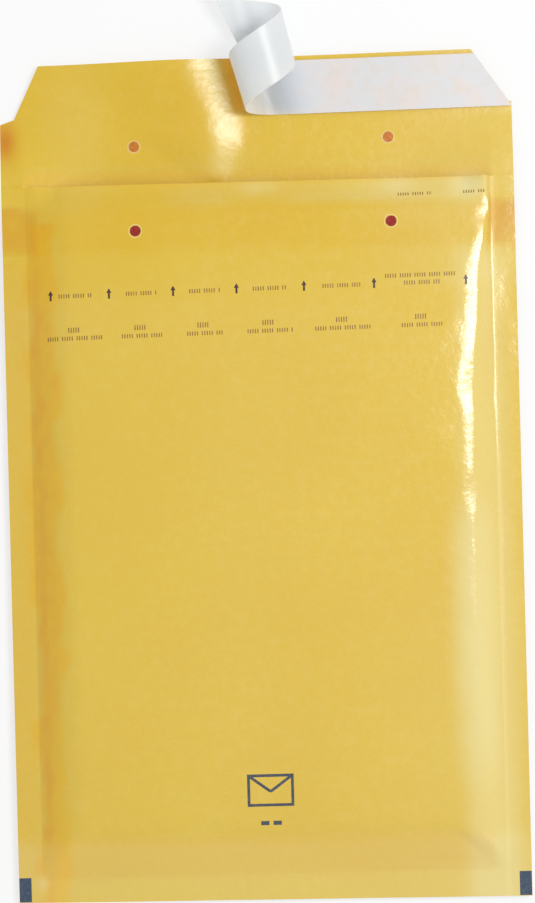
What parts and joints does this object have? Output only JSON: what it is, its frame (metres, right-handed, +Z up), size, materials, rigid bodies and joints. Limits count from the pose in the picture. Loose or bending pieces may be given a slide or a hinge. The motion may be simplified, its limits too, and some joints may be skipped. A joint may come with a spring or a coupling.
{
  "type": "padded envelope",
  "caption": "Kraft paper padded envelope with a bubble film lining and an open self-seal flap, its release strip half peeled and curled",
  "frame": {"origin": "the middle of the back panel's flat underside, on the surface that the envelope lies on", "axes": "+X to the right across the envelope, +Y from the sealed bottom to the flap, +Z up out of the front panel"},
  "size_m": [0.2002, 0.354, 0.0281],
  "materials": {
    "kraft_paper": "glazed kraft, yellow brown",
    "bubble_film": "clear polyethylene film",
    "clear_adhesive": "clear hot melt over kraft",
    "release_paper": "white siliconised paper"
  },
  "bodies": {
    "root": {"kraft_envelope": "kraft_paper", "bubble_lining": "bubble_film", "adhesive_strip": "clear_adhesive", "release_liner": "release_paper"}
  },
  "joints": []
}
